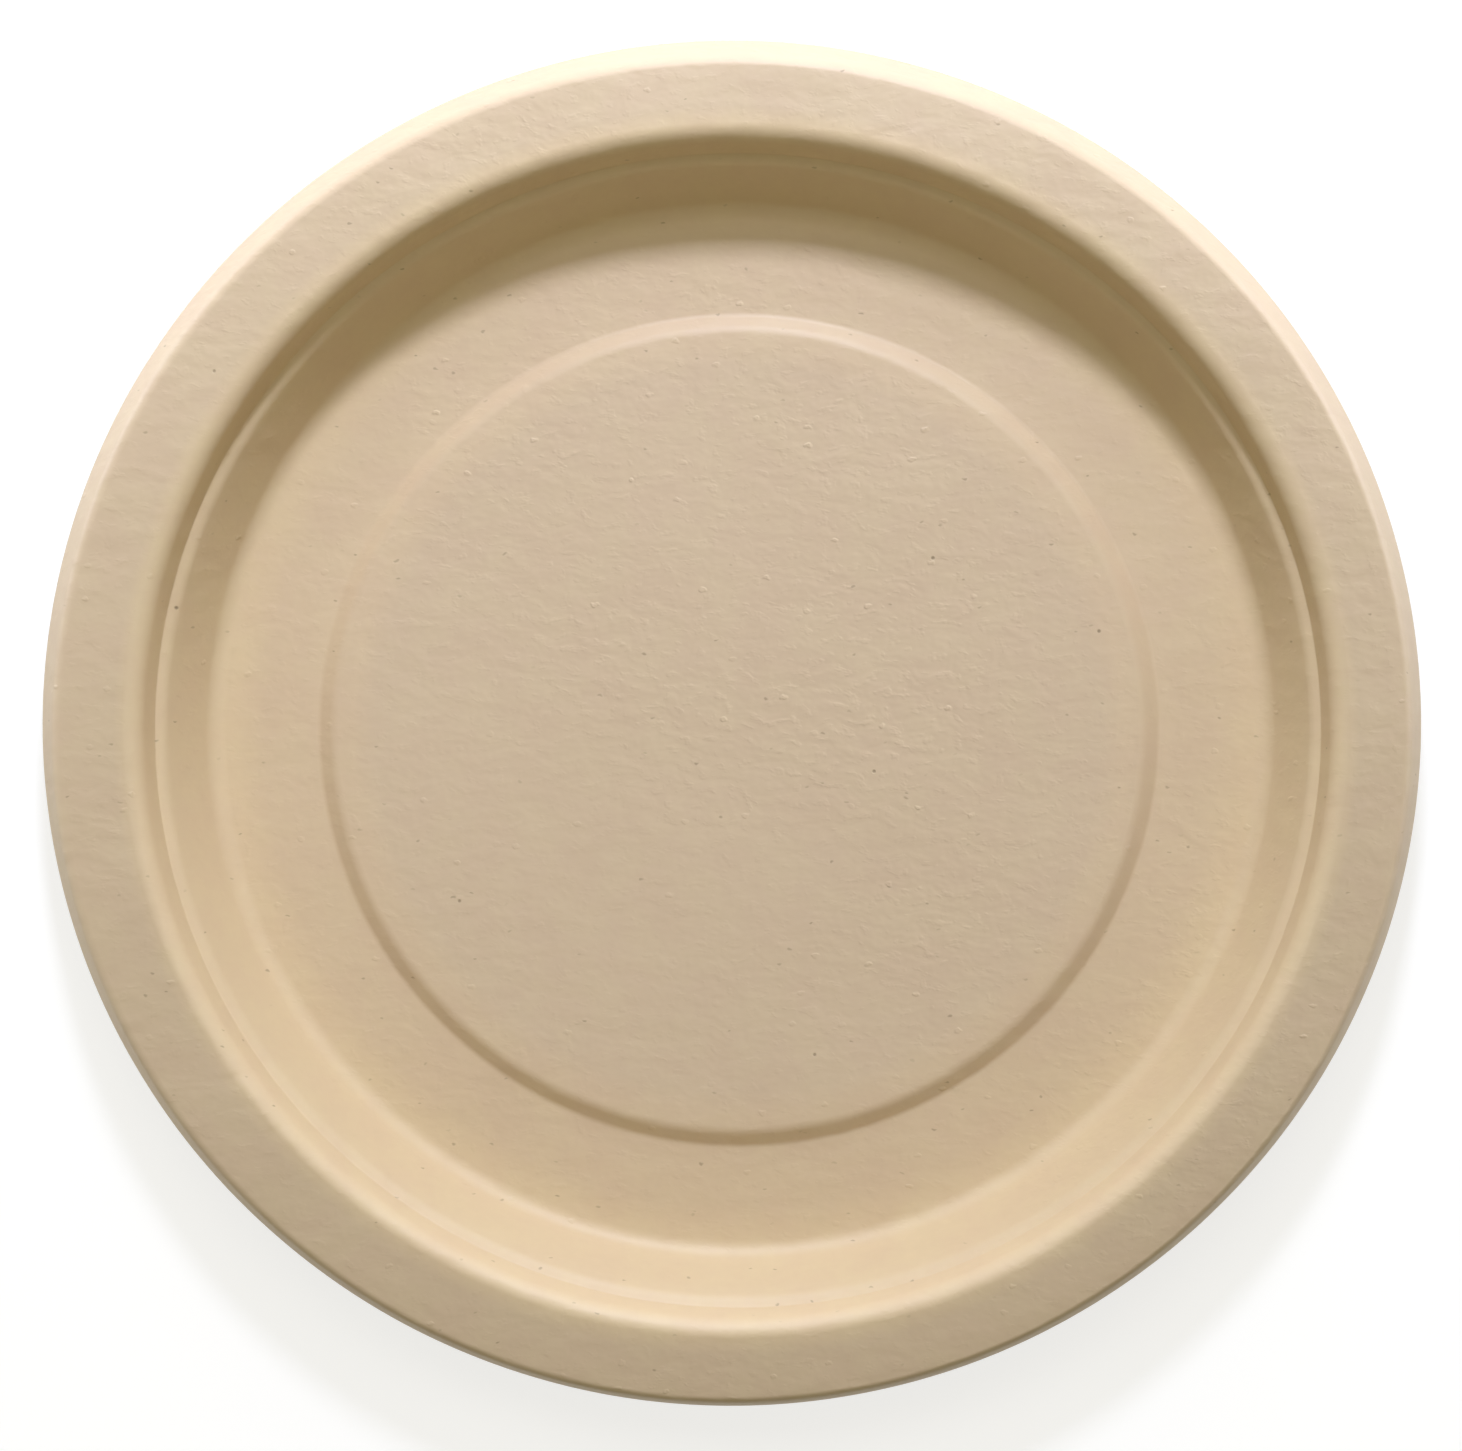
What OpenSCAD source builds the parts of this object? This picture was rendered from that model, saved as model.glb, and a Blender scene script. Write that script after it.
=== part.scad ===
// Round plate of moulded plant fibre, pressed as one sheet of even thickness.
// It stands on the table at z = 0 on a flat ring, the foot. From the edge inwards the sheet
// runs: turned-down lip, crease, sloping rim, shoulder, wall with a stacking ledge, foot, step
// and raised centre. Widths are seen from above, and heights are taken on the upper face.

/* [Plate] */
// Diameter over the edge of the lip
plate_d = 228.6; // [180:0.2:300]
// Height from the table to the crown of the shoulder
plate_h = 17.6; // [17:0.2:25]
// Thickness of the moulded sheet
sheet_t = 0.8; // [0.5:0.05:1]

/* [Rim and lip] */
// Width of the lip, from the crease to its edge
lip_w = 3.6; // [1.6:0.1:5.4]
// Angle of the lip below level
lip_angle = 58; // [40:1:66]
// Bend radius of the crease between rim and lip
crease_bend = 2.6; // [1.2:0.1:3]
// Width of the rim, from the shoulder's corner to the crease
rim_w = 13.7; // [8:0.1:24]
// Fall of the rim below level
rim_angle = 3; // [0:0.5:14]
// Bend radius of the shoulder between rim and wall
shoulder_bend = 3.3; // [1.2:0.1:3.6]

/* [Wall and stacking ledge] */
// Angle of the wall between the shoulder and the ledge
collar_angle = 73; // [62:1:78]
// Height of the inner edge of the ledge
ledge_h = 11.3; // [8:0.1:12]
// Width of the ledge
ledge_w = 1.6; // [0.8:0.1:2]
// Angle of the ledge above level
ledge_angle = 26; // [10:1:40]
// Bend radius at the inner edge of the ledge
ledge_bend = 2.8; // [1:0.1:2.8]
// Bend radius at the root of the ledge, against the wall above it
ledge_root_bend = 0.5; // [0.3:0.1:2]
// Angle of the wall between the ledge and the foot
wall_angle = 60.5; // [45:0.5:75]

/* [Foot and raised centre] */
// Bend radius between the wall and the foot
foot_bend = 3.8; // [2:0.1:7]
// Width of the foot, from the wall's corner to the foot of the step
foot_w = 18; // [12:0.2:30]
// Height of the raised centre above the foot
centre_rise = 1.5; // [0.6:0.1:3]
// Angle of the step round the raised centre
step_angle = 31; // [12:1:45]
// Bend radius at the bottom of the step
step_root_bend = 1.8; // [1:0.1:6]
// Bend radius at the top of the step
step_top_bend = 3.4; // [2:0.1:8]

/* [Hidden] */
fibre_colour = [0.81, 0.72, 0.59];
// Sides of the round plate, and the most that one facet of a bend turns
plate_sides = 240;
facet_turn = 8;
// Share of its shorter leg that a bend may take up
leg_share = 0.5;

// Heights of the corners. The wall and the rim would meet above the crown of the shoulder.
foot_z = sheet_t;
centre_z = foot_z + centre_rise;
ledge_top_z = ledge_h + ledge_w * tan(ledge_angle);
half_turn = (collar_angle + rim_angle) / 2;
lean = (collar_angle - rim_angle) / 2;
mouth_z = plate_h + shoulder_bend * (cos(lean) / cos(half_turn) - 1);
crease_z = mouth_z - rim_w * tan(rim_angle);
edge_z = crease_z - lip_w * tan(lip_angle);

// Radii of the corners, from the edge inwards
edge_r = plate_d / 2;
crease_r = edge_r - lip_w;
mouth_r = crease_r - rim_w;
ledge_top_r = mouth_r - (mouth_z - ledge_top_z) / tan(collar_angle);
ledge_r = ledge_top_r - ledge_w;
foot_r = ledge_r - (ledge_h - foot_z) / tan(wall_angle);
step_r = foot_r - foot_w;
centre_r = step_r - centre_rise / tan(step_angle);

// Corners of the upper face from the axis to the edge: radius, height and bend radius
corners = [
    [0, centre_z, 0],
    [centre_r, centre_z, step_top_bend],
    [step_r, foot_z, step_root_bend],
    [foot_r, foot_z, foot_bend],
    [ledge_r, ledge_h, ledge_bend],
    [ledge_top_r, ledge_top_z, ledge_root_bend],
    [mouth_r, mouth_z, shoulder_bend],
    [crease_r, crease_z, crease_bend],
    [edge_r, edge_z, 0],
];
last = len(corners) - 1;

// Place of a corner, and the leg from it to the next one
function spot(i) = [corners[i][0], corners[i][1]];
function leg(i) = spot(i + 1) - spot(i);
// Angle of that leg above level
function climb(i) = atan2(leg(i)[1], leg(i)[0]);
// Unit vector along a leg, and the one that points squarely into the sheet below it
function along(angle) = [cos(angle), sin(angle)];
function inward(angle) = [sin(angle), -cos(angle)];
// Bend radius of a corner, as far as its shorter leg leaves room
function bend_at(i, turn) =
    min(corners[i][2], leg_share * min(norm(leg(i - 1)), norm(leg(i))) / tan(abs(turn) / 2));

// Points of one bend on the face that lies deep below the upper face. Both faces share the
// bend's centre, which is above the sheet where it turns up and below it where it turns down.
function bend_points(i, deep) =
    let (
        angle_in = climb(i - 1),
        turn = climb(i) - angle_in,
        radius = sign(turn) * bend_at(i, turn),
        centre = spot(i) - radius * tan(turn / 2) * along(angle_in) - radius * inward(angle_in),
        steps = max(1, ceil(abs(turn) / facet_turn))
    )
    [for (k = [0 : steps]) centre + (radius + deep) * inward(angle_in + turn * k / steps)];

// The whole face from the axis to the edge
function sheet_face(deep) = concat(
    [spot(0) + deep * inward(climb(0))],
    [for (i = [1 : last - 1]) each bend_points(i, deep)],
    [spot(last) + deep * inward(climb(last - 1))]
);
function reversed(points) = [for (k = [len(points) - 1 : -1 : 0]) points[k]];

// Section of the sheet: out along the upper face and back along the lower one
module sheet_section() {
    polygon(concat(sheet_face(0), reversed(sheet_face(sheet_t))));
}

module plate() {
    color(fibre_colour)
        rotate_extrude($fn = plate_sides)
            sheet_section();
}

plate();
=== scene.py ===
"""Looks of a round moulded-fibre plate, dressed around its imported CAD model.

The plate is one pressed sheet. Its skin follows the same section as the solid, finely divided, with
the slight lumps and the uneven trim of a plate that was pressed wet and then dried. The section, the
drying shape and the finish are in millimetres, the studio and the camera in metres. All of it stands
in the frame of the CAD model.
"""

import logging
import math
from dataclasses import dataclass
from enum import Enum

import bpy
import numpy as np
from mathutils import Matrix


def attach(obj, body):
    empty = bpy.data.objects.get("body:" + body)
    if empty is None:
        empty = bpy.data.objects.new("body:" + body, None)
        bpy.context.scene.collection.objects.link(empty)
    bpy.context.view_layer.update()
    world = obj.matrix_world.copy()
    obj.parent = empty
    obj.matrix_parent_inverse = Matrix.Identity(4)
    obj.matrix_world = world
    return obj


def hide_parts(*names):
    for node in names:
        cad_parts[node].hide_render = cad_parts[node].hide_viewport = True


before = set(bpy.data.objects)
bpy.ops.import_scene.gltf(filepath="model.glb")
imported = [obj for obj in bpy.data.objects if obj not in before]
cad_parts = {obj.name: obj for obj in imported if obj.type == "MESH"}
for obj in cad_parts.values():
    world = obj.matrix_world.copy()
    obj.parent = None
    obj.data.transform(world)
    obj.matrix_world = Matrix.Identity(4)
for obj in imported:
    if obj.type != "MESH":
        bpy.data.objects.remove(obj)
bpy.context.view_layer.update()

LOG = logging.getLogger("plate")
MM = 0.001
MICRON = 1e-6
FULL_TURN = 2 * math.pi
# The sRGB curve above its short straight part at black, and its highest level
SRGB_OFFSET, SRGB_POWER, SRGB_FULL = 0.055, 2.4, 255
# What soft noise of 0 to 1 is on average
NOISE_MEAN = 0.5
# Vectors that keep only X and Y, or only X, of what they are multiplied with
KEEP_XY = (1.0, 1.0, 0.0)
KEEP_X = (1.0, 0.0, 0.0)

# Sockets of the Mix node for colours, which share their names with its other sockets
MIX_SHARE, MIX_FIRST, MIX_SECOND, MIX_RESULT = 0, 6, 7, 2

Triple = tuple[float, float, float]
Colour = tuple[float, float, float, float]


def tangent(degrees: float) -> float:
    """Tangent of an angle in degrees."""
    return math.tan(math.radians(degrees))


def cosine(degrees: float) -> float:
    """Cosine of an angle in degrees."""
    return math.cos(math.radians(degrees))


def along(climb: float | np.ndarray) -> np.ndarray:
    """Unit vector, as radius and height, of a face that climbs at an angle in radians."""
    return np.stack([np.cos(climb), np.sin(climb)], -1)


def inward(climb: float | np.ndarray) -> np.ndarray:
    """Unit vector that points squarely into the sheet below such a face."""
    return np.stack([np.sin(climb), -np.cos(climb)], -1)


def stepped(start: np.ndarray, end: np.ndarray, way: float) -> np.ndarray:
    """The point that lies the given way from start towards end."""
    return start + (end - start) * way / float(np.hypot(*(end - start)))


def linear(level: float) -> float:
    """Linear light from an sRGB level of 11 to 255."""
    return ((level / SRGB_FULL + SRGB_OFFSET) / (1 + SRGB_OFFSET)) ** SRGB_POWER


def rgba(red: float, green: float, blue: float) -> Colour:
    """An opaque colour in linear light from one written in sRGB levels."""
    return (linear(red), linear(green), linear(blue), 1.0)


def grey(tone: float) -> Colour:
    """An opaque grey in linear light."""
    return (tone, tone, tone, 1.0)


@dataclass(frozen=True)
class Corner:
    """A corner of the sheet's section, in millimetres, which a bend rounds off."""

    radius: float
    height: float
    bend: float = 0.0

    @property
    def spot(self) -> np.ndarray:
        """The corner as a row of radius and height."""
        return np.array([self.radius, self.height])


@dataclass(frozen=True)
class Division:
    """Most degrees of a bend, and most millimetres of a straight leg, between two points."""

    bend_step: float
    leg_step: float


@dataclass(frozen=True)
class SheetSection:
    """Section of the moulded sheet in millimetres and degrees, from the lip inwards."""

    plate_d: float = 228.6
    plate_h: float = 17.6
    sheet_t: float = 0.8
    lip_w: float = 3.6
    lip_angle: float = 58.0
    crease_bend: float = 2.6
    rim_w: float = 13.7
    rim_angle: float = 3.0
    shoulder_bend: float = 3.3
    collar_angle: float = 73.0
    ledge_h: float = 11.3
    ledge_w: float = 1.6
    ledge_angle: float = 26.0
    ledge_bend: float = 2.8
    ledge_root_bend: float = 0.5
    wall_angle: float = 60.5
    foot_bend: float = 3.8
    foot_w: float = 18.0
    centre_rise: float = 1.5
    step_angle: float = 31.0
    step_root_bend: float = 1.8
    step_top_bend: float = 3.4

    def corners(self) -> list[Corner]:
        """Corners of the upper face from the axis to the edge.

        The lip, the rim and the walls are straight legs at their own angles. The shoulder's corner
        is above its crown by what the bend takes off it.

        Returns:
            The corners, with the bend radius of each.
        """
        half_turn = (self.collar_angle + self.rim_angle) / 2
        lean = (self.collar_angle - self.rim_angle) / 2
        foot_z = self.sheet_t
        centre_z = foot_z + self.centre_rise
        ledge_top_z = self.ledge_h + self.ledge_w * tangent(self.ledge_angle)
        mouth_z = self.plate_h + self.shoulder_bend * (cosine(lean) / cosine(half_turn) - 1)
        crease_z = mouth_z - self.rim_w * tangent(self.rim_angle)
        edge_z = crease_z - self.lip_w * tangent(self.lip_angle)
        edge_r = self.plate_d / 2
        crease_r = edge_r - self.lip_w
        mouth_r = crease_r - self.rim_w
        ledge_top_r = mouth_r - (mouth_z - ledge_top_z) / tangent(self.collar_angle)
        ledge_r = ledge_top_r - self.ledge_w
        foot_r = ledge_r - (self.ledge_h - foot_z) / tangent(self.wall_angle)
        step_r = foot_r - self.foot_w
        centre_r = step_r - self.centre_rise / tangent(self.step_angle)
        return [
            Corner(0.0, centre_z),
            Corner(centre_r, centre_z, self.step_top_bend),
            Corner(step_r, foot_z, self.step_root_bend),
            Corner(foot_r, foot_z, self.foot_bend),
            Corner(ledge_r, self.ledge_h, self.ledge_bend),
            Corner(ledge_top_r, ledge_top_z, self.ledge_root_bend),
            Corner(mouth_r, mouth_z, self.shoulder_bend),
            Corner(crease_r, crease_z, self.crease_bend),
            Corner(edge_r, edge_z),
        ]

    def bend(self, corner: Corner, climbs: np.ndarray, deep: float, step: float) -> np.ndarray:
        """Points of one bend on the face that lies deep below the upper one.

        Both faces share the bend's centre, so the sheet keeps its thickness round it. A point is
        the centre plus (signed bend radius + depth) times the unit vector that points squarely
        into the sheet.

        Args:
            corner: The corner that the bend rounds off.
            climbs: Angles above level of the legs before and after it, in radians.
            deep: Depth below the upper face, in millimetres.
            step: Most degrees between two points.

        Returns:
            Rows of (radius, height) in millimetres.
        """
        before, after = climbs
        turn = after - before
        radius = math.copysign(corner.bend, turn)
        start = corner.spot - radius * math.tan(turn / 2) * along(before)
        centre = start - radius * inward(before)
        steps = max(1, math.ceil(math.degrees(abs(turn)) / step))
        angles = before + turn * np.linspace(0, 1, steps + 1)
        return centre + (radius + deep) * inward(angles)

    def face(self, deep: float, division: Division) -> np.ndarray:
        """Points of the face that lies deep below the upper one, from the axis to the edge.

        Each inner corner becomes a bend, and the straight legs between them are divided evenly.

        Args:
            deep: Depth below the upper face, in millimetres.
            division: How finely the bends and the legs are divided.

        Returns:
            Rows of (radius, height) in millimetres.
        """
        corners = self.corners()
        first, last = corners[0].spot, corners[-1].spot
        legs = np.diff([corner.spot for corner in corners], axis=0)
        climbs = np.arctan2(legs[:, 1], legs[:, 0])
        stretches = [(first + deep * inward(climbs[0]))[None]]
        for i, corner in enumerate(corners[1:-1]):
            stretches.append(self.bend(corner, climbs[i : i + 2], deep, division.bend_step))
        stretches.append((last + deep * inward(climbs[-1]))[None])
        points = [stretches[0]]
        for before, after in zip(stretches, stretches[1:]):
            gap = after[0] - before[-1]
            steps = max(1, math.ceil(float(np.hypot(*gap)) / division.leg_step))
            shares = np.linspace(0, 1, steps + 1)[1:-1, None]
            points += [before[-1] + shares * gap, after]
        return np.concatenate(points)


@dataclass(frozen=True)
class RimWave:
    """A wave round the rim: how often it goes round, its share of the dip, its phase in radians."""

    count: int
    share: float
    phase: float = 0.0


@dataclass(frozen=True)
class DryingShape:
    """How the plate departs from a true revolve, as a sheet pressed wet and dried does.

    Lengths are in millimetres, places are distances from the axis, and directions are in degrees
    from +X towards +Y. The moves stay inside the solid's own box.
    """

    # Width that is missing along Y, as a share of it
    narrower: float = 0.012
    # Uneven trim of the lip: none at trim_none_at, and the lip widest at widest_at
    trim: float = 1.9
    trim_from: float = 106.0
    trim_none_at: float = 180.0
    widest_at: float = 140.0
    # The crease lies crease_in nearer the axis, and drifts outwards towards one side
    crease_at: float = 110.7
    crease_from: float = 100.0
    crease_in: float = 0.2
    crease_drift: float = 0.62
    crease_toward: float = 207.0
    # The rim dips from the shoulder outwards, by a mean share and two waves round the plate
    rim_dip: float = 0.1
    rim_dip_from: float = 96.0
    rim_dip_mean: float = 0.5
    rim_waves: tuple[RimWave, ...] = (RimWave(2, 0.3, 0.6), RimWave(3, 0.2))
    # Low lumps all over, which sink below the solid's face across lump_sinks
    lump: float = 0.16
    lump_sinks: tuple[float, float] = (86.0, 96.0)
    lump_sizes: tuple[float, float] = (14.0, 60.0)
    lump_waves: int = 36
    seed: int = 7
    # The centre stands higher than flat, and the foot ring takes that up
    dome: float = 0.5
    dome_from: tuple[float, float] = (64.0, 82.0)

    def lumps(self, x: np.ndarray, y: np.ndarray) -> np.ndarray:
        """Low lumps of the sheet: a mean of plane waves in random directions.

        Each wave has a random length between lump_sizes and an amplitude in step with its length.

        Args:
            x: Places along X in millimetres.
            y: Places along Y in millimetres.

        Returns:
            Heights from -1 to 1.
        """
        rng = np.random.default_rng(self.seed)
        total = np.zeros_like(x)
        weight = 0.0
        for _ in range(self.lump_waves):
            length = rng.uniform(*self.lump_sizes)
            heading, phase = rng.uniform(0, FULL_TURN, 2)
            ahead = x * math.cos(heading) + y * math.sin(heading)
            total += length * np.sin(FULL_TURN * ahead / length + phase)
            weight += length**2
        return np.clip(total / math.sqrt(weight), -1, 1)

    def cut(self, radius: np.ndarray, angle: np.ndarray, outer: float) -> np.ndarray:
        """How far each point moves towards the axis.

        The trim grows with the square of the way out from trim_from to the edge, and with the
        cosine of the angle from widest_at. The crease's move is whole at crease_at and fades to
        nothing on both sides of it.

        Args:
            radius: Distances from the axis in millimetres.
            angle: Directions from the axis in radians.
            outer: Radius of the true revolve.

        Returns:
            The moves in millimetres.
        """
        out = np.clip((radius - self.trim_from) / (outer - self.trim_from), 0, 1)
        none_at, widest = math.radians(self.trim_none_at), math.radians(self.widest_at)
        trim = self.trim * (math.cos(none_at - widest) - np.cos(angle - widest)) * out**2
        near = np.interp(radius, (self.crease_from, self.crease_at, outer), (0.0, 1.0, 0.0))
        toward = np.cos(angle - math.radians(self.crease_toward))
        return trim + near * (self.crease_in - self.crease_drift * toward)

    def dips(self, radius: np.ndarray, angle: np.ndarray, outer: float) -> np.ndarray:
        """How far each point of the rim dips.

        The dip grows evenly from rim_dip_from to the edge, and its depth round the plate is the
        mean plus the sum of share times cosine of (count times angle + phase).

        Args:
            radius: Distances from the axis in millimetres.
            angle: Directions from the axis in radians.
            outer: Radius of the true revolve.

        Returns:
            The dips in millimetres.
        """
        dip = np.clip((radius - self.rim_dip_from) / (outer - self.rim_dip_from), 0, 1)
        depth = self.rim_dip_mean
        for wave in self.rim_waves:
            depth = depth + wave.share * np.cos(wave.count * angle + wave.phase)
        return self.rim_dip * dip * depth

    def moved(self, points: np.ndarray, outer: float) -> np.ndarray:
        """The points of the true revolve moved to where the dried sheet has them.

        Lumps of -1 to 1 are taken as heights of 0 to 1, less 1 where they have sunk.

        Args:
            points: Rows of x, y and z in millimetres.
            outer: Radius of the true revolve.

        Returns:
            The moved points.
        """
        x, y, z = points.T
        radius, angle = np.hypot(x, y), np.arctan2(y, x)
        cut = self.cut(radius, angle, outer)
        sunk = np.interp(radius, self.lump_sinks, (0.0, 1.0))
        rise = self.lump * ((1 + self.lumps(x, y)) / 2 - sunk)
        rise = rise - self.dips(radius, angle, outer)
        rise = rise + np.interp(radius, self.dome_from, (self.dome, 0.0))
        moved_y = (y - cut * np.sin(angle)) * (1 - self.narrower)
        return np.stack([x - cut * np.cos(angle), moved_y, z + rise], -1)


class MathStep(Enum):
    """Operations of the Math node, by Blender's names."""

    ADD = "ADD"
    SUBTRACT = "SUBTRACT"
    MULTIPLY = "MULTIPLY"
    SINE = "SINE"
    MINIMUM = "MINIMUM"
    GREATER_THAN = "GREATER_THAN"


class VectorStep(Enum):
    """Operations of the Vector Math node, by Blender's names."""

    ADD = "ADD"
    MULTIPLY = "MULTIPLY"
    MULTIPLY_ADD = "MULTIPLY_ADD"
    SCALE = "SCALE"
    DOT_PRODUCT = "DOT_PRODUCT"
    DISTANCE = "DISTANCE"
    LENGTH = "LENGTH"


class Signal:
    """A shader socket that Python's arithmetic works on."""

    def __init__(self, bench: "NodeBench", socket: bpy.types.NodeSocket) -> None:
        """Keeps the socket and the bench that makes its nodes."""
        self.bench = bench
        self.socket = socket

    def __add__(self, other: "Signal | float") -> "Signal":
        """This plus other."""
        return self.bench.math(MathStep.ADD, self, other)

    def __radd__(self, other: float) -> "Signal":
        """Other plus this."""
        return self.bench.math(MathStep.ADD, other, self)

    def __sub__(self, other: "Signal | float") -> "Signal":
        """This less other."""
        return self.bench.math(MathStep.SUBTRACT, self, other)

    def __rsub__(self, other: float) -> "Signal":
        """Other less this."""
        return self.bench.math(MathStep.SUBTRACT, other, self)

    def __mul__(self, other: "Signal | float") -> "Signal":
        """This times other."""
        return self.bench.math(MathStep.MULTIPLY, self, other)

    def __rmul__(self, other: float) -> "Signal":
        """Other times this."""
        return self.bench.math(MathStep.MULTIPLY, other, self)


@dataclass(frozen=True)
class Noise:
    """Soft noise: its largest features in millimetres, its detail and its roughness."""

    size: float
    detail: float
    roughness: float


@dataclass(frozen=True)
class Drift:
    """Noise that makes a pattern crooked: its features' size and its reach, in millimetres."""

    size: float
    reach: float


class NodeBench:
    """Makes and wires the nodes of one node tree."""

    FLAT_NOISE = {"noise_dimensions": "2D"}
    SOFT_STEP = {"interpolation_type": "SMOOTHSTEP"}

    def __init__(self, tree: bpy.types.NodeTree) -> None:
        """Clears the tree, to start from nothing."""
        self.tree = tree
        tree.nodes.clear()

    def node(
        self, kind: str, settings: dict | None = None, inputs: dict | None = None
    ) -> bpy.types.Node:
        """One node, with its settings made first and its sockets after them.

        Args:
            kind: Blender's name of the node's type.
            settings: Values of the node's own settings; stops is a ramp's list of (place, colour).
            inputs: Value or Signal of each socket, by the socket's name or number.

        Returns:
            The node.
        """
        made = self.tree.nodes.new(kind)
        for name, value in (settings or {}).items():
            if name == "stops":
                ramp = made.color_ramp.elements
                while len(ramp) < len(value):
                    ramp.new(1.0)
                for stop, (place, colour) in zip(ramp, value):
                    stop.position, stop.color = place, (*colour, 1.0)
            else:
                setattr(made, name, value)
        for name, value in (inputs or {}).items():
            if isinstance(value, Signal):
                self.tree.links.new(value.socket, made.inputs[name])
            else:
                made.inputs[name].default_value = value
        return made

    def signal(self, node: bpy.types.Node, output: str | int = 0) -> Signal:
        """One output of a node, as a Signal."""
        return Signal(self, node.outputs[output])

    def math(self, step: MathStep, *values: "Signal | float") -> Signal:
        """A Math node on one or two values."""
        made = self.node("ShaderNodeMath", {"operation": step.value}, dict(enumerate(values)))
        return self.signal(made)

    def vector(self, step: VectorStep, *values: object, output: str = "Vector") -> Signal:
        """A Vector Math node on vectors, which are Signals or three numbers."""
        inputs = dict(enumerate(values))
        return self.signal(self.node("ShaderNodeVectorMath", {"operation": step.value}, inputs), output)

    def scaled(self, colour: Signal, share: Signal) -> Signal:
        """A colour times a number."""
        settings, inputs = {"operation": VectorStep.SCALE.value}, {"Vector": colour, "Scale": share}
        return self.signal(self.node("ShaderNodeVectorMath", settings, inputs))

    def mix(self, share: Signal, first: "Signal | Colour", second: "Signal | Colour") -> Signal:
        """The colour that is share of the way from first to second."""
        inputs = {MIX_SHARE: share, MIX_FIRST: first, MIX_SECOND: second}
        return self.signal(self.node("ShaderNodeMix", {"data_type": "RGBA"}, inputs), MIX_RESULT)

    def shaders_added(self, *nodes: bpy.types.Node) -> bpy.types.Node:
        """A node that adds two shaders."""
        return self.node("ShaderNodeAddShader", None, dict(enumerate(map(self.signal, nodes))))

    def shaders_mixed(self, share: Signal, *nodes: bpy.types.Node) -> Signal:
        """The shader that is share of the way from the first node's to the second's."""
        inputs = dict(enumerate((share, *map(self.signal, nodes))))
        return self.signal(self.node("ShaderNodeMixShader", None, inputs))

    def band(self, value: Signal, low: float, high: float) -> Signal:
        """A soft step from 0 where value is low to 1 where it is high."""
        inputs = {"Value": value, "From Min": low, "From Max": high}
        return self.signal(self.node("ShaderNodeMapRange", self.SOFT_STEP, inputs))

    def noise(self, where: Signal, noise: Noise) -> Signal:
        """Soft noise of 0 to 1.

        Args:
            where: Coordinates in metres.
            noise: Size, detail and roughness of the noise.

        Returns:
            The noise.
        """
        inputs = {
            "Vector": where,
            "Scale": 1 / (noise.size * MM),
            "Detail": noise.detail,
            "Roughness": noise.roughness,
        }
        return self.signal(self.node("ShaderNodeTexNoise", self.FLAT_NOISE, inputs))

    def wander(self, where: Signal, drift: Drift) -> Signal:
        """Coordinates shifted by noise, which makes straight things crooked.

        Args:
            where: Coordinates in metres.
            drift: Size and reach of the noise.

        Returns:
            The shifted coordinates.
        """
        inputs = {"Vector": where, "Scale": 1 / (drift.size * MM), "Detail": 0.0}
        noise = self.signal(self.node("ShaderNodeTexNoise", self.FLAT_NOISE, inputs), "Color")
        reach = (drift.reach * MM, drift.reach * MM, 0.0)
        return self.vector(VectorStep.MULTIPLY_ADD, noise, reach, where)

    def placed(self, where: Signal, stretch: Triple, turn: float, move: Triple = (0, 0, 0)) -> Signal:
        """Coordinates stretched, then turned about Z by radians, then moved."""
        inputs = {"Vector": where, "Location": move, "Rotation": (0, 0, turn), "Scale": stretch}
        return self.signal(self.node("ShaderNodeMapping", None, inputs))


@dataclass(frozen=True)
class Spots:
    """Sparse soft spots that lie along X, one at most in each cell.

    Attributes:
        cell: Size of a cell in millimetres.
        radius: Half the length of a spot in millimetres.
        turn: Turn of the cells in radians. It shifts them too, so each kind has cells of its own.
        slim: How many times longer a spot is than it is wide.
        rare: Share of the cells that stay empty.
        core: Share of the radius that has the spot's whole strength.
    """

    cell: float
    radius: float
    turn: float
    slim: float
    rare: float
    core: float = 0.3

    def shown(self, bench: NodeBench, where: Signal) -> Signal:
        """The spots, of 0 to 1; a cell's own random value sets how strong its spot is.

        Args:
            bench: Where the nodes are made.
            where: Coordinates along the sheet, in metres.

        Returns:
            The spots.
        """
        laid = bench.placed(where, (1.0, self.slim, 1.0), self.turn, (self.turn, 2 * self.turn, 0.0))
        inputs = {"Vector": laid, "Scale": 1 / (self.cell * MM)}
        cells = bench.node("ShaderNodeTexVoronoi", {"voronoi_dimensions": "2D"}, inputs)
        random = bench.signal(cells, "Color")
        chance = bench.vector(VectorStep.DOT_PRODUCT, random, KEEP_X, output="Value")
        reach = self.radius / self.cell
        near = 1.0 - bench.band(bench.signal(cells, "Distance"), self.core * reach, reach)
        return near * bench.band(chance, self.rare, 1.0)


@dataclass(frozen=True)
class Mark:
    """One small round blemish of this plate.

    Attributes:
        x: Place in millimetres from the axis.
        y: Place in millimetres from the axis.
        size: Radius in millimetres.
        depth: Depth in microns, and a knot where it is negative.
        strength: Share of the fleck's colour that it takes.
        core: Share of the radius that has the mark's whole strength.
    """

    x: float
    y: float
    size: float
    depth: float
    strength: float
    core: float = 0.25

    def shown(self, bench: NodeBench, place: Signal) -> Signal:
        """The mark as a soft spot of 0 to 1.

        Args:
            bench: Where the nodes are made.
            place: Place in the object, in metres.

        Returns:
            The spot.
        """
        flat = bench.vector(VectorStep.MULTIPLY, place, KEEP_XY)
        centre = (self.x * MM, self.y * MM, 0.0)
        away = bench.vector(VectorStep.DISTANCE, flat, centre, output="Value")
        return 1.0 - bench.band(away, self.core * self.size * MM, self.size * MM)


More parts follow.
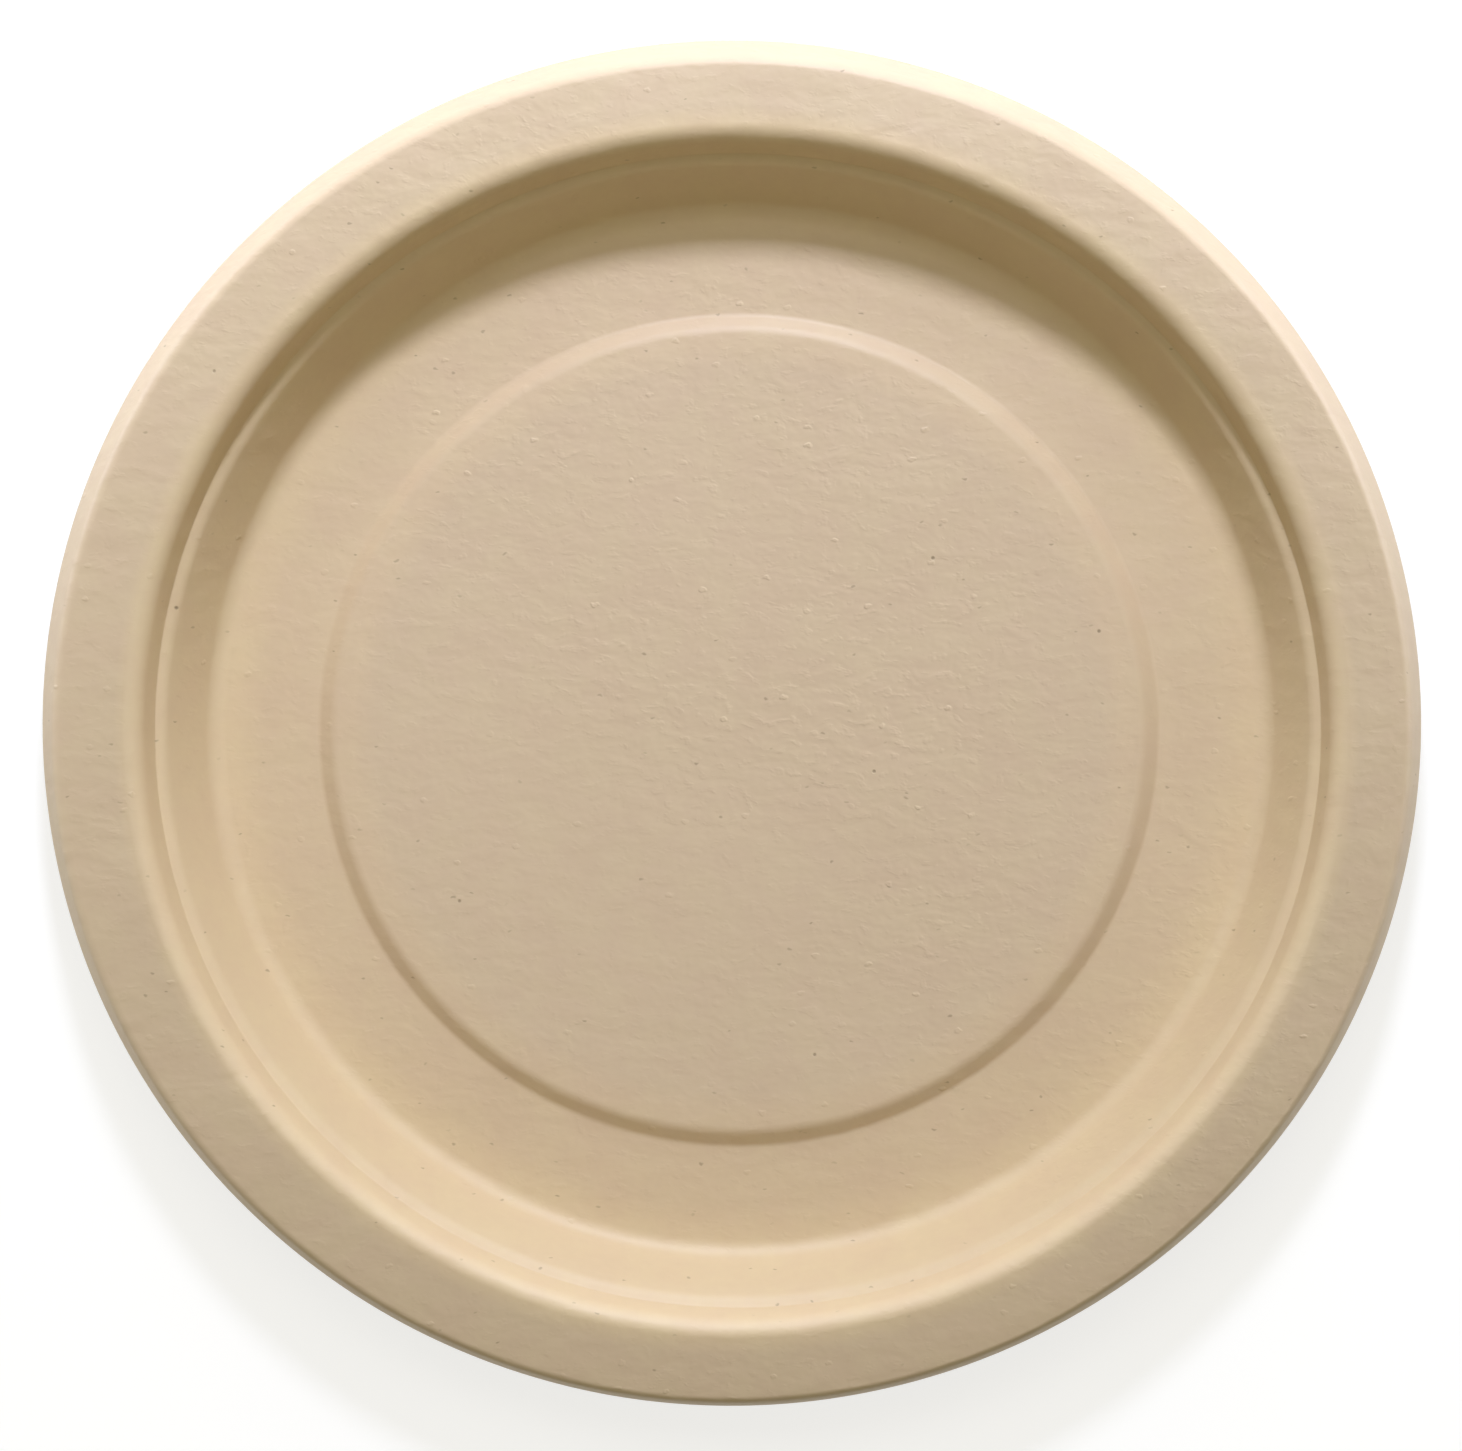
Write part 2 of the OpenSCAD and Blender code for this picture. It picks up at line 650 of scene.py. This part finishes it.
@dataclass(frozen=True)
class PaintedLightZone:
    """Painted light and shade: a tint that the sheet's colour takes at a distance from the axis, in
    millimetres.
    """

    radius: float
    red: float
    green: float
    blue: float


@dataclass(frozen=True)
class MouldedFibre:
    """Finish of unbleached moulded plant fibre: matt, finely felted and thinly flecked.

    Lengths are in millimetres and heights of the relief in microns.
    """

    name: str = "moulded_fibre"
    roughness: float = 0.5
    specular: float = 0.44
    # Colour: clouds of two close hues, a finer light and dark, and flecks
    pink: Colour = rgba(203.2, 181.5, 154.7)
    green: Colour = rgba(201.9, 181.9, 153.7)
    fleck: Colour = rgba(104, 86, 62)
    cloud: Noise = Noise(9.0, 3.0, 0.6)
    cloud_band: tuple[float, float] = (0.3, 0.7)
    shade: Noise = Noise(9.0, 3.0, 0.75)
    shade_contrast: float = 0.11
    # Painted shade: the colour darkens by this share for each metre towards +X, in place of light that
    # falls off across the plate
    painted_side_shade: float = 0.34
    # Painted light and shade by distance from the axis: tints of the centre, the foot ring, the wall
    # and the rim, with a lighter, yellower wall and a darker rim
    painted_light_zones: tuple[PaintedLightZone, ...] = (
        PaintedLightZone(60.0, 0.985, 0.985, 1.0),
        PaintedLightZone(64.0, 1.025, 1.015, 1.005),
        PaintedLightZone(79.0, 1.025, 1.015, 0.985),
        PaintedLightZone(84.0, 1.065, 1.06, 0.985),
        PaintedLightZone(98.0, 1.06, 1.06, 0.99),
        PaintedLightZone(101.0, 0.953, 0.951, 0.942),
    )
    # Relief: a felted ground with ridges of fibre, which lie along X, and knots
    grain_slimness: float = 1.5
    grain_turn: float = 0.06
    grain_drift: Drift = Drift(5.2, 1.3)
    felt: Noise = Noise(5.0, 2.0, 0.4)
    felt_height: float = 118.0
    ridges: Noise = Noise(2.6, 2.0, 0.6)
    ridge_band: tuple[float, float] = (0.54, 0.82)
    ridge_height: float = 19.0
    crook: Drift = Drift(0.9, 0.5)
    knots: Spots = Spots(9.0, 0.8, 0.2, 1.5, 0.6)
    knot_height: float = 48.0
    flecks: tuple[Spots, ...] = (
        Spots(8.0, 0.5, 0.35, 2.0, 0.85),
        Spots(8.0, 0.5, 1.9, 2.0, 0.85),
    )
    fleck_strength: float = 0.45
    # Print of the forming screen on the lower face
    mesh_pitch: float = 1.1
    mesh_height: float = 26.0
    # Blemishes of this one plate
    marks: tuple[Mark, ...] = (
        Mark(-91.8, 20.2, 0.42, 90.0, 0.75),
        Mark(59.9, 16.3, 0.42, 60.0, 0.65),
        Mark(32.6, 28.4, 0.42, 60.0, 0.6),
        Mark(22.9, -6.8, 0.4, 50.0, 0.55),
        Mark(-46.0, -28.4, 0.4, 50.0, 0.55),
        Mark(13.1, -53.6, 0.4, 50.0, 0.55),
        Mark(-84.3, 58.6, 0.4, 50.0, 0.5),
        Mark(-17.3, 41.5, 0.5, -60.0, 0.0),
        Mark(-49.0, 71.5, 0.32, -40.0, 0.0),
    )

    def screen_print(self, bench: NodeBench, where: Signal) -> Signal:
        """Print of the forming screen's wires, the product of two sine waves across each other.

        Args:
            bench: Where the nodes are made.
            where: Coordinates along the sheet, in metres.

        Returns:
            Heights from -1 to 1.
        """
        parts = bench.node("ShaderNodeSeparateXYZ", None, {"Vector": where})
        turns = FULL_TURN / (self.mesh_pitch * MM)
        waves = [bench.math(MathStep.SINE, bench.signal(parts, axis) * turns) for axis in ("X", "Y")]
        return waves[0] * waves[1]

    def relief(self, bench: NodeBench, where: Signal, place: Signal, below: Signal) -> Signal:
        """Height of the surface above the smooth sheet.

        Args:
            bench: Where the nodes are made.
            where: Coordinates along the sheet, in metres.
            place: Place in the object, in metres.
            below: 1 on the lower face and 0 on the upper one.

        Returns:
            The height in metres.
        """
        wandering = bench.wander(where, self.grain_drift)
        laid = bench.placed(wandering, (1.0, self.grain_slimness, 1.0), self.grain_turn)
        felt = bench.noise(laid, self.felt)
        ridges = bench.band(bench.noise(laid, self.ridges), *self.ridge_band)
        knots = self.knots.shown(bench, bench.wander(where, self.crook))
        height = felt * self.felt_height + ridges * self.ridge_height + knots * self.knot_height
        for mark in self.marks:
            height = height - mark.shown(bench, place) * mark.depth
        return (height + below * self.screen_print(bench, where) * self.mesh_height) * MICRON

    def painted_light_tint(self, bench: NodeBench, place: Signal) -> Signal:
        """Painted light and shade of the zone between the axis and the edge that a place is in.

        A ramp holds no colour above 1, so this one holds halves, and its colour is added to itself.
        It spans twice the last zone's distance.

        Args:
            bench: Where the nodes are made.
            place: Place in the object, in metres.

        Returns:
            The painted light and shade, to multiply a colour with.
        """
        flat = bench.vector(VectorStep.MULTIPLY, place, KEEP_XY)
        reach = bench.vector(VectorStep.LENGTH, flat, output="Value")
        whole = 2 * self.painted_light_zones[-1].radius
        stops = [(z.radius / whole, (z.red / 2, z.green / 2, z.blue / 2)) for z in self.painted_light_zones]
        ramp = bench.node("ShaderNodeValToRGB", {"stops": stops}, {"Fac": reach * (1 / (whole * MM))})
        return bench.vector(VectorStep.ADD, bench.signal(ramp), bench.signal(ramp))

    def colour(self, bench: NodeBench, where: Signal, place: Signal) -> Signal:
        """Colour of the fibre: clouds of two hues, light and dark, flecks and marks, with painted light
        and shade by zone and towards +X.

        Args:
            bench: Where the nodes are made.
            where: Coordinates along the sheet, in metres.
            place: Place in the object, in metres.

        Returns:
            The colour.
        """
        cloud = bench.band(bench.noise(where, self.cloud), *self.cloud_band)
        hue = bench.mix(cloud, self.pink, self.green)
        shade = 1.0 + (bench.noise(where, self.shade) - NOISE_MEAN) * self.shade_contrast
        # Painted shade: the colour grows darker towards +X
        painted_side_shade = bench.vector(VectorStep.DOT_PRODUCT, place, (self.painted_side_shade, 0.0, 0.0), output="Value")
        # Painted light and shade by distance from the axis: lighter foot ring and wall, yellower wall,
        # darker centre and rim
        hue_with_painted_light = bench.vector(VectorStep.MULTIPLY, hue, self.painted_light_tint(bench, place))
        hue = bench.scaled(hue_with_painted_light, shade - painted_side_shade)
        crooked = bench.wander(where, self.crook)
        for flecks in self.flecks:
            hue = bench.mix(flecks.shown(bench, crooked) * self.fleck_strength, hue, self.fleck)
        for mark in self.marks:
            if mark.strength > 0:
                hue = bench.mix(mark.shown(bench, place) * mark.strength, hue, self.fleck)
        return hue

    def material(self, uv_name: str, aside: float) -> bpy.types.Material:
        """The finish as a Blender material.

        Args:
            uv_name: UV map that follows the sheet, in metres along it.
            aside: How far to one side that map has the lower face, in metres.

        Returns:
            The material.
        """
        made = bpy.data.materials.new(self.name)
        made.use_nodes = True
        bench = NodeBench(made.node_tree)
        where = bench.signal(bench.node("ShaderNodeUVMap", {"uv_map": uv_name}))
        place = bench.signal(bench.node("ShaderNodeTexCoord"), "Object")
        side = bench.signal(bench.node("ShaderNodeSeparateXYZ", None, {"Vector": where}), "X")
        below = bench.math(MathStep.GREATER_THAN, side, aside / 2)
        height = self.relief(bench, where, place, below)
        bump = bench.node("ShaderNodeBump", None, {"Height": height, "Strength": 1.0, "Distance": 1.0})
        inputs = {
            "Base Color": self.colour(bench, where, place),
            "Roughness": self.roughness,
            "Specular IOR Level": self.specular,
            "Normal": bench.signal(bump),
        }
        shader = bench.signal(bench.node("ShaderNodeBsdfPrincipled", None, inputs))
        bench.node("ShaderNodeOutputMaterial", None, {"Surface": shader})
        return made


@dataclass(frozen=True)
class Outline:
    """The whole section of the skin, from the upper pole round the edge to the lower pole.

    Attributes:
        rows: Radius and height of each row, in millimetres.
        travel: How far each row is along its own face from the axis, in millimetres.
        lower: Number of the lower face's first row.
    """

    rows: np.ndarray
    travel: np.ndarray
    lower: int


@dataclass(frozen=True)
class MouldedPlate:
    """The one moulded sheet of the plate, in millimetres."""

    NODE = "plate"
    PIECE = "plate_skin"
    UV_NAME = "along_sheet"
    # How far to one side the UV map has the lower face, in metres
    UV_ASIDE = 1.0

    section: SheetSection = SheetSection()
    shape: DryingShape = DryingShape()
    finish: MouldedFibre = MouldedFibre()
    slices: int = 480
    upper_division: Division = Division(7.0, 4.0)
    lower_division: Division = Division(9.0, 5.0)
    # Rounding of the trimmed edge, and where the rows that hold it start
    edge_rounding: float = 0.16
    edge_hold: float = 0.48

    def outline(self) -> Outline:
        """The whole section: out along the upper face, round the trimmed edge, back below.

        Two rows near the end of each face keep the faces flat up to the small rounding.

        Returns:
            The rows of the section.
        """
        upper = self.section.face(0.0, self.upper_division)
        lower = self.section.face(self.section.sheet_t, self.lower_division)[::-1]
        cut, hold = self.edge_rounding, self.edge_hold
        above = [stepped(upper[-1], upper[-2], way) for way in (hold, cut)]
        edge = [
            stepped(upper[-1], lower[0], cut),
            (upper[-1] + lower[0]) / 2,
            stepped(lower[0], upper[-1], cut),
        ]
        below = [stepped(lower[0], lower[1], way) for way in (cut, hold)]
        rows = np.concatenate([upper[:-1], above, edge, below, lower[1:]])
        travel = np.concatenate([[0.0], np.cumsum(np.hypot(*np.diff(rows, axis=0).T))])
        first = len(rows) - len(below) - len(lower[1:])
        travel[first:] = travel[-1] - travel[first:]
        return Outline(rows, travel, first)

    def angles(self) -> np.ndarray:
        """Directions of the slices from the axis, in radians."""
        return np.linspace(0, FULL_TURN, self.slices, endpoint=False)

    def points(self, outline: Outline) -> np.ndarray:
        """Points of the skin, row by row, with the two poles last.

        A point is (r cos a, r sin a, z) of its row and slice, moved by the drying shape.

        Args:
            outline: The section.

        Returns:
            Rows of x, y and z in metres.
        """
        ring = outline.rows[1:-1]
        x = ring[:, :1] * np.cos(self.angles())
        y = ring[:, :1] * np.sin(self.angles())
        z = np.repeat(ring[:, 1:], self.slices, axis=1)
        grid = np.stack([x, y, z], -1).reshape(-1, 3)
        poles = np.array([[0, 0, outline.rows[0, 1]], [0, 0, outline.rows[-1, 1]]])
        return self.shape.moved(np.concatenate([grid, poles]), self.section.plate_d / 2) * MM

    def faces(self, rings: int) -> list[list[int]]:
        """Faces of the skin: a closed grid of rings by slices, with a fan at each pole.

        Args:
            rings: Number of rows without the poles.

        Returns:
            The points' numbers of each face.
        """
        index = np.arange(rings * self.slices).reshape(rings, self.slices)
        after = np.roll(index, -1, axis=1)
        quads = np.stack([index[:-1], index[1:], after[1:], after[:-1]], -1).reshape(-1, 4)
        first, last = index[0], index[-1]
        top, bottom = index.size, index.size + 1
        fan_top = np.stack([np.full_like(first, top), first, after[0]], -1)
        fan_bottom = np.stack([last, np.full_like(last, bottom), after[-1]], -1)
        return quads.tolist() + fan_top.tolist() + fan_bottom.tolist()

    def lay_uv(self, mesh: bpy.types.Mesh, outline: Outline) -> None:
        """Writes the UV map that follows the sheet.

        The map is (s cos a, s sin a), where s is the way along the face from the axis, with the
        lower face moved aside. A face is on the lower one if none of its rows is before the
        edge's last row.

        Args:
            mesh: The skin, in the order of faces and points.
            outline: The section.
        """
        rings = len(outline.rows) - 2
        corner = np.zeros(len(mesh.loops), np.int32)
        starts = np.zeros(len(mesh.polygons), np.int32)
        totals = np.zeros(len(mesh.polygons), np.int32)
        mesh.loops.foreach_get("vertex_index", corner)
        mesh.polygons.foreach_get("loop_start", starts)
        mesh.polygons.foreach_get("loop_total", totals)
        top = rings * self.slices
        pole_row = np.where(corner == top, 0, rings + 1)
        row = np.where(corner < top, corner // self.slices + 1, pole_row)
        turn = np.where(corner < top, self.angles()[corner % self.slices], 0.0)
        below = np.repeat(np.minimum.reduceat(row, starts) >= outline.lower - 1, totals)
        reach = outline.travel[row] * MM
        uv = np.stack([reach * np.cos(turn) + below * self.UV_ASIDE, reach * np.sin(turn)], -1)
        layer = mesh.uv_layers.new(name=self.UV_NAME)
        layer.uv.foreach_set("vector", uv.astype(np.float32).ravel())

    def mesh(self) -> bpy.types.Mesh:
        """The skin as one closed smooth mesh with its UV map.

        Returns:
            The mesh, in metres.
        """
        outline = self.outline()
        faces = self.faces(len(outline.rows) - 2)
        mesh = bpy.data.meshes.new(self.PIECE)
        mesh.from_pydata(self.points(outline).tolist(), [], faces)
        mesh.polygons.foreach_set("use_smooth", np.ones(len(faces), bool))
        self.lay_uv(mesh, outline)
        mesh.validate()
        mesh.update()
        return mesh

    def build(self) -> bpy.types.Object:
        """Makes the skin in place of the solid.

        Returns:
            The skin.
        """
        piece = bpy.data.objects.new(self.PIECE, self.mesh())
        bpy.context.scene.collection.objects.link(piece)
        piece.data.materials.append(self.finish.material(self.UV_NAME, self.UV_ASIDE))
        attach(piece, "root")
        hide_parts(self.NODE)
        return piece


@dataclass(frozen=True)
class AreaLamp:
    """A rectangular lamp that faces the plate, in metres and degrees.

    Attributes:
        name: Name of the lamp.
        azimuth: Direction of the lamp from +Y towards +X.
        elevation: Height of the lamp above level, as an angle.
        distance: Distance from the plate's foot.
        width: Width of the lamp.
        height: Height of the lamp.
        brightness: What the lamp alone would give a white plate that faces it.
        colour: Colour of the light.
    """

    name: str
    azimuth: float
    elevation: float
    distance: float
    width: float
    height: float
    brightness: float
    colour: Triple

    def build(self) -> bpy.types.Object:
        """Puts the lamp up.

        A lamp of power P lights a plane that faces it at distance d with P / (pi d^2), and a white
        plane gives back 1 / pi of that in each direction.

        Returns:
            The lamp.
        """
        data = bpy.data.lights.new(self.name, "AREA")
        data.shape, data.size, data.size_y = "RECTANGLE", self.width, self.height
        data.energy = self.brightness * math.pi**2 * self.distance**2
        data.color = self.colour
        lamp = bpy.data.objects.new(self.name, data)
        turn, rise = math.radians(self.azimuth), math.radians(self.elevation)
        lamp.location = (
            self.distance * math.cos(rise) * math.sin(turn),
            self.distance * math.cos(rise) * math.cos(turn),
            self.distance * math.sin(rise),
        )
        lamp.rotation_euler = (rise - math.pi / 2, 0.0, -turn)
        bpy.context.scene.collection.objects.link(lamp)
        return lamp


@dataclass(frozen=True)
class Studio:
    """Floor, world light and lamps round the plate, in metres.

    Attributes:
        floor_size: Length of the floor's sides.
        floor_tone: Grey of the floor as it lights the plate.
        floor_shown: Grey of the matt share of the floor as it is seen.
        floor_glow: Glow of the floor as it is seen.
        world: Light from all round.
        lamps: The lamps.
    """

    floor_size: float = 3.0
    floor_tone: float = 0.4
    floor_shown: float = 0.32
    floor_glow: float = 0.76
    world: Triple = (0.27, 0.24, 0.12)
    lamps: tuple[AreaLamp, ...] = (
        AreaLamp("key", 3.5, 40.0, 0.8, 0.105, 0.105, 0.725, (0.95, 1.0, 1.24)),
        AreaLamp("high_fill", 0.0, 60.0, 1.2, 1.0, 0.4, 0.2, (1.0, 1.0, 1.02)),
        AreaLamp("middle_fill", 0.0, 25.0, 1.2, 1.2, 0.3, 0.21, (0.96, 1.0, 0.92)),
        AreaLamp("low_back", 0.0, 2.0, 1.2, 0.8, 0.06, 0.275, (0.95, 1.0, 1.2)),
        AreaLamp("low_right", 58.0, 0.4, 1.2, 0.8, 0.014, 0.49, (0.93, 1.0, 1.2)),
        AreaLamp("low_left", -58.0, 0.4, 1.2, 0.8, 0.014, 0.43, (0.93, 1.0, 1.2)),
        AreaLamp("side_right", 95.0, 0.4, 1.2, 0.8, 0.014, 0.06, (0.95, 1.0, 0.9)),
        AreaLamp("side_left", -95.0, 0.4, 1.2, 0.8, 0.014, 0.08, (0.95, 1.0, 0.9)),
    )

    def seen_directly(self, bench: NodeBench) -> Signal:
        """1 for camera, mirror and transmission rays, 0 for all that only carry light.

        Args:
            bench: Where the nodes are made.

        Returns:
            The 1 or 0.
        """
        path = bench.node("ShaderNodeLightPath")
        direct = bench.signal(path, "Is Camera Ray") + bench.signal(path, "Is Glossy Ray")
        return bench.math(MathStep.MINIMUM, direct + bench.signal(path, "Is Transmission Ray"), 1.0)

    def floor_material(self) -> bpy.types.Material:
        """Finish of the floor, which shows white but keeps a shadow of the plate.

        A camera or mirror ray sees a glow and a darker matt share that together reach white in the
        light; all other rays see a plain pale matt floor.

        Returns:
            The material.
        """
        material = bpy.data.materials.new("floor")
        material.use_nodes = True
        bench = NodeBench(material.node_tree)
        plain = bench.node("ShaderNodeBsdfDiffuse", None, {"Color": grey(self.floor_tone)})
        shown = bench.node("ShaderNodeBsdfDiffuse", None, {"Color": grey(self.floor_shown)})
        glow = bench.node("ShaderNodeEmission", None, {"Strength": self.floor_glow})
        seen = bench.shaders_added(shown, glow)
        mixed = bench.shaders_mixed(self.seen_directly(bench), plain, seen)
        bench.node("ShaderNodeOutputMaterial", None, {"Surface": mixed})
        return material

    def build_floor(self) -> bpy.types.Object:
        """Lays the floor under the plate.

        Returns:
            The floor.
        """
        half = self.floor_size / 2
        corners = [(-half, -half, 0), (half, -half, 0), (half, half, 0), (-half, half, 0)]
        mesh = bpy.data.meshes.new("floor")
        mesh.from_pydata(corners, [], [(0, 1, 2, 3)])
        floor = bpy.data.objects.new("floor", mesh)
        bpy.context.scene.collection.objects.link(floor)
        mesh.materials.append(self.floor_material())
        return floor

    def build_world(self) -> bpy.types.World:
        """An even world light, which a camera or mirror ray sees as white.

        Returns:
            The world.
        """
        world = bpy.data.worlds.new("world")
        bpy.context.scene.world = world
        world.use_nodes = True
        bench = NodeBench(world.node_tree)
        light = bench.node("ShaderNodeBackground", None, {"Color": (*self.world, 1.0)})
        white = bench.node("ShaderNodeBackground", None, {"Color": grey(1.0)})
        mixed = bench.shaders_mixed(self.seen_directly(bench), light, white)
        bench.node("ShaderNodeOutputWorld", None, {"Surface": mixed})
        return world

    def build(self) -> list[bpy.types.ID]:
        """Builds the floor, the world light and the lamps, and returns them."""
        return [self.build_floor(), self.build_world(), *(lamp.build() for lamp in self.lamps)]


@dataclass(frozen=True)
class PhotoCamera:
    """Camera almost straight above the plate, a little to its right.

    Attributes:
        distance: Distance from the target in metres.
        lean: Lean of the view towards +X, in degrees.
        target: Point that it looks at, in metres.
        frame_width: Width that it frames at its target, in metres.
        sensor: Width of its sensor in millimetres.
    """

    distance: float = 0.6
    lean: float = 3.8
    target: Triple = (0.0002, 0.0008, 0.017)
    frame_width: float = 0.2364
    sensor: float = 36.0

    def build(self) -> bpy.types.Object:
        """Makes the camera, with a lens that frames frame_width at its target.

        Returns:
            The camera.
        """
        data = bpy.data.cameras.new("camera")
        data.sensor_width = self.sensor
        data.lens = self.sensor * self.distance / self.frame_width
        camera = bpy.data.objects.new("camera", data)
        lean = math.radians(self.lean)
        x, y, z = self.target
        camera.location = (x + self.distance * math.sin(lean), y, z + self.distance * math.cos(lean))
        camera.rotation_euler = (0.0, lean, 0.0)
        bpy.context.scene.collection.objects.link(camera)
        bpy.context.scene.camera = camera
        return camera


def main() -> None:
    """Builds the camera, the plate and the studio in order, and reports each piece."""
    logging.basicConfig(level=logging.INFO, format="%(message)s")
    bpy.context.scene.view_settings.view_transform = "Standard"
    for piece in (PhotoCamera().build(), MouldedPlate().build(), *Studio().build()):
        LOG.info("built %s", piece.name)


if __name__ == "__main__":
    main()
